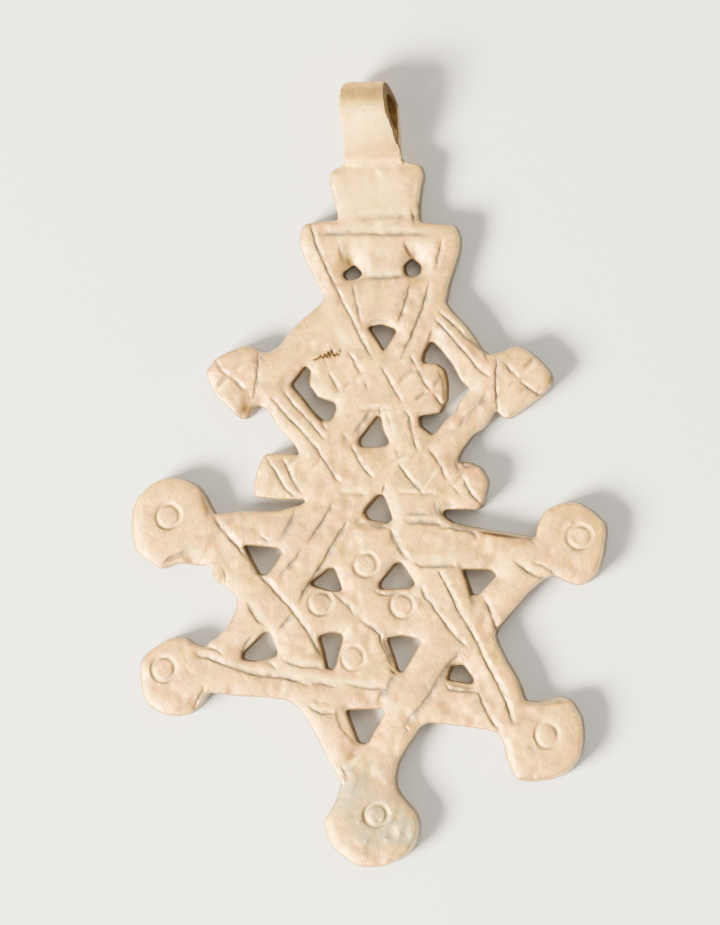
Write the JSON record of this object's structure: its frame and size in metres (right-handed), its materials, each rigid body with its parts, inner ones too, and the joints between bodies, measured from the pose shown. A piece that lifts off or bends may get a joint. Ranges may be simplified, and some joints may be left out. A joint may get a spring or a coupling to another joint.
{
  "type": "coptic cross pendant",
  "caption": "Flat cast coptic cross pendant, pierced and engraved, with a round-lobed star below, a lozenge and bands above, and a strap bail for a cord or chain.",
  "frame": {"origin": "centre of the bounding box on the flat back, which the pendant rests on", "axes": "+Z out of the engraved face, +Y from the bottom lobe to the bail, +X to the right seen from the front"},
  "size_m": [0.0458, 0.0752, 0.0062],
  "materials": {
    "cast_silver": "satin, hand filed, softly worn and lightly tarnished"
  },
  "bodies": {
    "root": {"cross": "cast_silver"}
  },
  "joints": []
}
